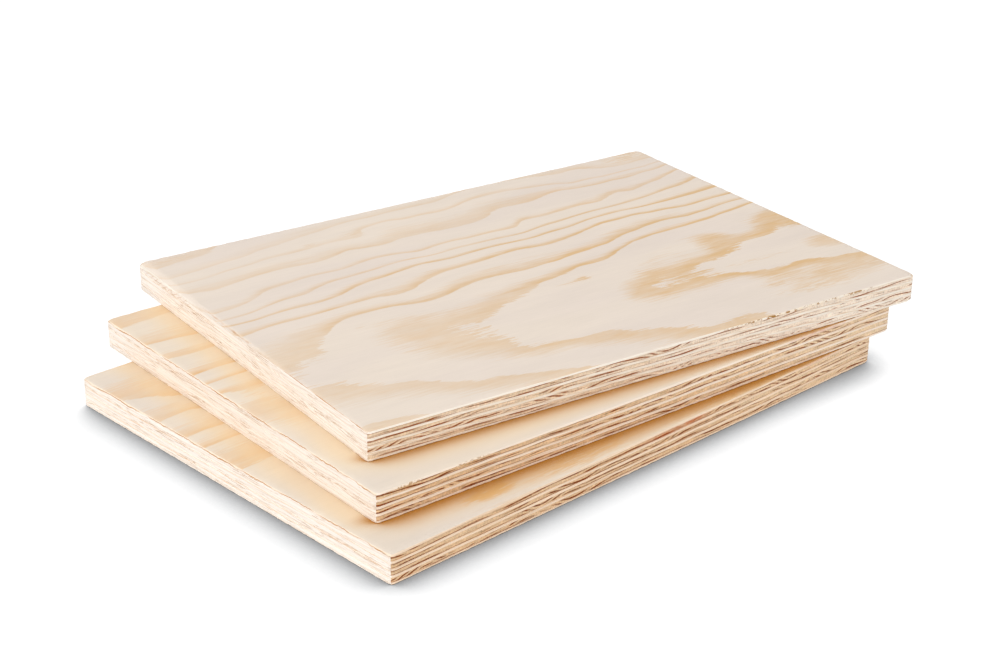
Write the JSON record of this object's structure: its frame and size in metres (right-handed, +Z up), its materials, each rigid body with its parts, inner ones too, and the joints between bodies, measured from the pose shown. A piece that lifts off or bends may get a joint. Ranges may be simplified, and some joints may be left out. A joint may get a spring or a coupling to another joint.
{
  "type": "stack of plywood sheets",
  "caption": "Small stack of pine plywood sheets lying flat, fanned out a little, with layered edges.",
  "frame": {"origin": "middle of the bottom sheet's lower face", "axes": "+X along the bottom sheet's long side, +Y across it towards the far side, +Z up through the stack"},
  "size_m": [0.4743, 0.3414, 0.054],
  "materials": {
    "pine_plywood": "matt"
  },
  "bodies": {
    "root": {"bottom_sheet": "pine_plywood", "middle_sheet": "pine_plywood", "top_sheet": "pine_plywood"}
  },
  "joints": []
}
